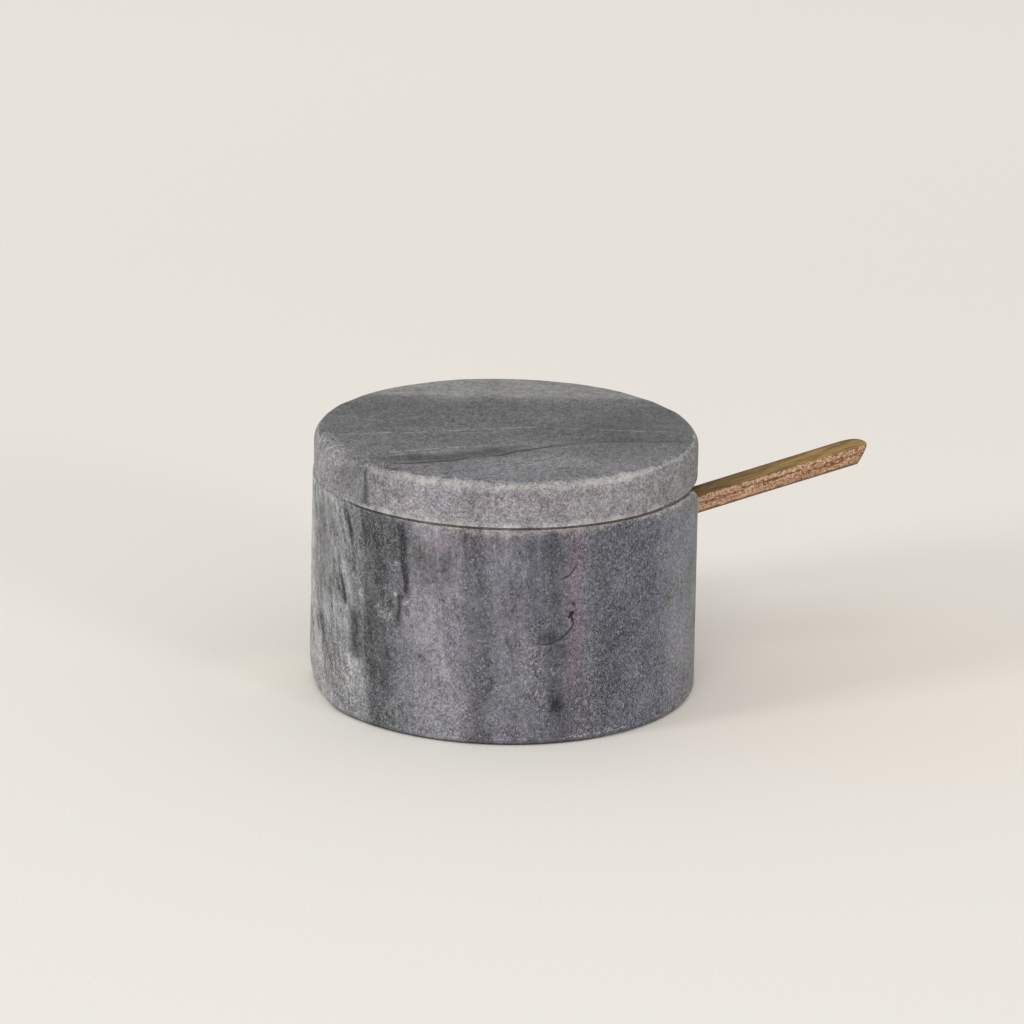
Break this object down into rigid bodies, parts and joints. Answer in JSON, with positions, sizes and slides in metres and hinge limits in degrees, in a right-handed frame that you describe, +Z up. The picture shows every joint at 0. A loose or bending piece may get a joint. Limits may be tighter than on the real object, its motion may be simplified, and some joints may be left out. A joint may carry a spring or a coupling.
{
  "type": "salt cellar",
  "caption": "Round stone salt cellar with a flat stone lid and a wooden spoon that rests in it, its handle out through a notch in the rim.",
  "frame": {"origin": "centre of the bowl's flat base, on the turning axis", "axes": "+Z up along the turning axis; +X out through the notch, the way the spoon's handle points; +Y completes a right-handed set"},
  "size_m": [0.1348, 0.095, 0.0645],
  "materials": {
    "bowl_marble": "honed grey marble with near-upright bands, a rusty vein and open pits",
    "lid_marble": "honed grey-green marble, paler and mottled round the side",
    "spoon_wood": "bare sawn hardwood with open grain"
  },
  "bodies": {
    "bowl": {"bowl": "bowl_marble"},
    "lid": {"lid": "lid_marble"},
    "spoon": {"spoon": "spoon_wood"}
  },
  "joints": [
    {"name": "lid_lift", "type": "slide", "parent": "bowl", "child": "lid", "axis": [0, 0, 1], "range_m": [0, 0.08]},
    {"name": "spoon_slide", "type": "slide", "parent": "bowl", "child": "spoon", "axis": [0.9494, 0, 0.314], "range_m": [0, 0.042]}
  ]
}
